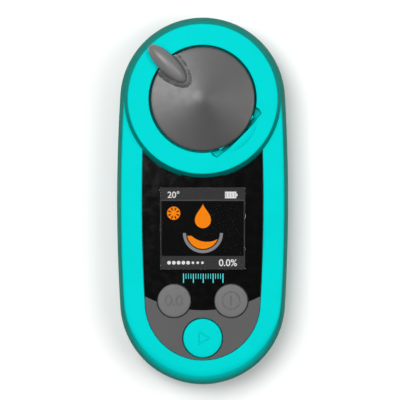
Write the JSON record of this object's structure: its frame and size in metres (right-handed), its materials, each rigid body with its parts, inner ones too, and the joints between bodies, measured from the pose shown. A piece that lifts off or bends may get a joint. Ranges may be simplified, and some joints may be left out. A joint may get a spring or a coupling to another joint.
{
  "type": "handheld digital refractometer",
  "caption": "Pocket digital refractometer with a lidded sample well, colour display, keys and a battery bay.",
  "frame": {"origin": "middle of the back face's plane, under the centre of the case", "axes": "+Z out of the display, +Y along the case towards the sample well, +X to the right of someone who reads the display"},
  "size_m": [0.056, 0.12, 0.0285],
  "materials": {
    "teal_plastic": "satin teal ABS",
    "lid_grey_plastic": "satin mid grey ABS",
    "grip_grey_plastic": "satin lighter grey ABS",
    "key_grey_plastic": "matt grey rubber-coated key",
    "plate_grey_plastic": "satin dark grey plate",
    "black_glass_panel": "glossy black acrylic window",
    "display_glass": "colour display glass",
    "white_plastic": "white moulded plastic",
    "amber_film": "amber flexible film",
    "green_board": "green solder mask",
    "black_plastic": "matt black plastic",
    "black_rubber": "black silicone rubber",
    "stainless_steel": "polished stainless steel",
    "optical_glass": "clear optical glass",
    "cell_sleeve": "printed metal cell sleeve",
    "spring_steel": "nickel-plated spring steel",
    "zinc_plated_steel": "zinc-plated steel"
  },
  "bodies": {
    "case": {"front_case": "teal_plastic", "rear_case": "teal_plastic", "case_seal": "black_rubber", "display_window": "black_glass_panel", "keypad_plate": "plate_grey_plastic", "lcd_panel": "display_glass", "lcd_backlight": "white_plastic", "display_film": "amber_film", "main_board": "green_board", "microcontroller": "black_plastic", "signal_converter": "black_plastic", "power_inductor": "black_plastic", "display_socket": "white_plastic", "led_socket": "white_plastic", "sensor_socket": "white_plastic", "zero_switch": "black_plastic", "power_switch": "black_plastic", "start_switch": "black_plastic", "sample_dish": "stainless_steel", "dish_gasket": "black_rubber", "prism": "optical_glass", "prism_seal": "black_rubber", "optics_chassis": "black_plastic", "optics_cover": "black_plastic", "led_board": "green_board", "led": "optical_glass", "condenser_lens": "optical_glass", "imaging_lens": "optical_glass", "line_sensor": "black_plastic", "sensor_board": "green_board", "led_ribbon": "amber_film", "sensor_ribbon": "amber_film", "thermistor": "black_plastic", "lid_hinge_pin": "stainless_steel", "cell_left": "cell_sleeve", "cell_right": "cell_sleeve", "bridge_contact": "spring_steel", "bridge_spring": "spring_steel", "positive_contact": "spring_steel", "negative_contact": "spring_steel", "negative_spring": "spring_steel", "door_hinge_pin": "stainless_steel", "case_screw_1": "zinc_plated_steel", "case_screw_2": "zinc_plated_steel", "case_screw_3": "zinc_plated_steel", "case_screw_4": "zinc_plated_steel", "board_screw_1": "zinc_plated_steel", "board_screw_2": "zinc_plated_steel", "optics_screw_1": "zinc_plated_steel", "optics_screw_2": "zinc_plated_steel"},
    "lid": {"lid": "lid_grey_plastic", "lid_seal": "black_rubber", "lid_grip": "grip_grey_plastic", "grip_screw": "zinc_plated_steel"},
    "battery_door": {"battery_door": "teal_plastic"},
    "zero_button": {"zero_button": "key_grey_plastic"},
    "power_button": {"power_button": "key_grey_plastic"},
    "start_button": {"start_button": "teal_plastic"}
  },
  "joints": [
    {"name": "lid_hinge", "type": "hinge", "parent": "case", "child": "lid", "pos_m": [0.01075, 0.02225, 0.0229], "axis": [0.7071, 0.7071, 0], "range_deg": [0, 100]},
    {"name": "battery_door_hinge", "type": "hinge", "parent": "case", "child": "battery_door", "pos_m": [0, 0.001, 0.0013], "axis": [1, 0, 0], "range_deg": [0, 95]},
    {"name": "zero_button_press", "type": "slide", "parent": "case", "child": "zero_button", "axis": [0, 0, -1], "range_m": [0, 0.0005], "stiffness_N_per_m": 1500, "springref_m": -0.0005},
    {"name": "power_button_press", "type": "slide", "parent": "case", "child": "power_button", "axis": [0, 0, -1], "range_m": [0, 0.0005], "stiffness_N_per_m": 1500, "springref_m": -0.0005},
    {"name": "start_button_press", "type": "slide", "parent": "case", "child": "start_button", "axis": [0, 0, -1], "range_m": [0, 0.0005], "stiffness_N_per_m": 1500, "springref_m": -0.0005}
  ]
}
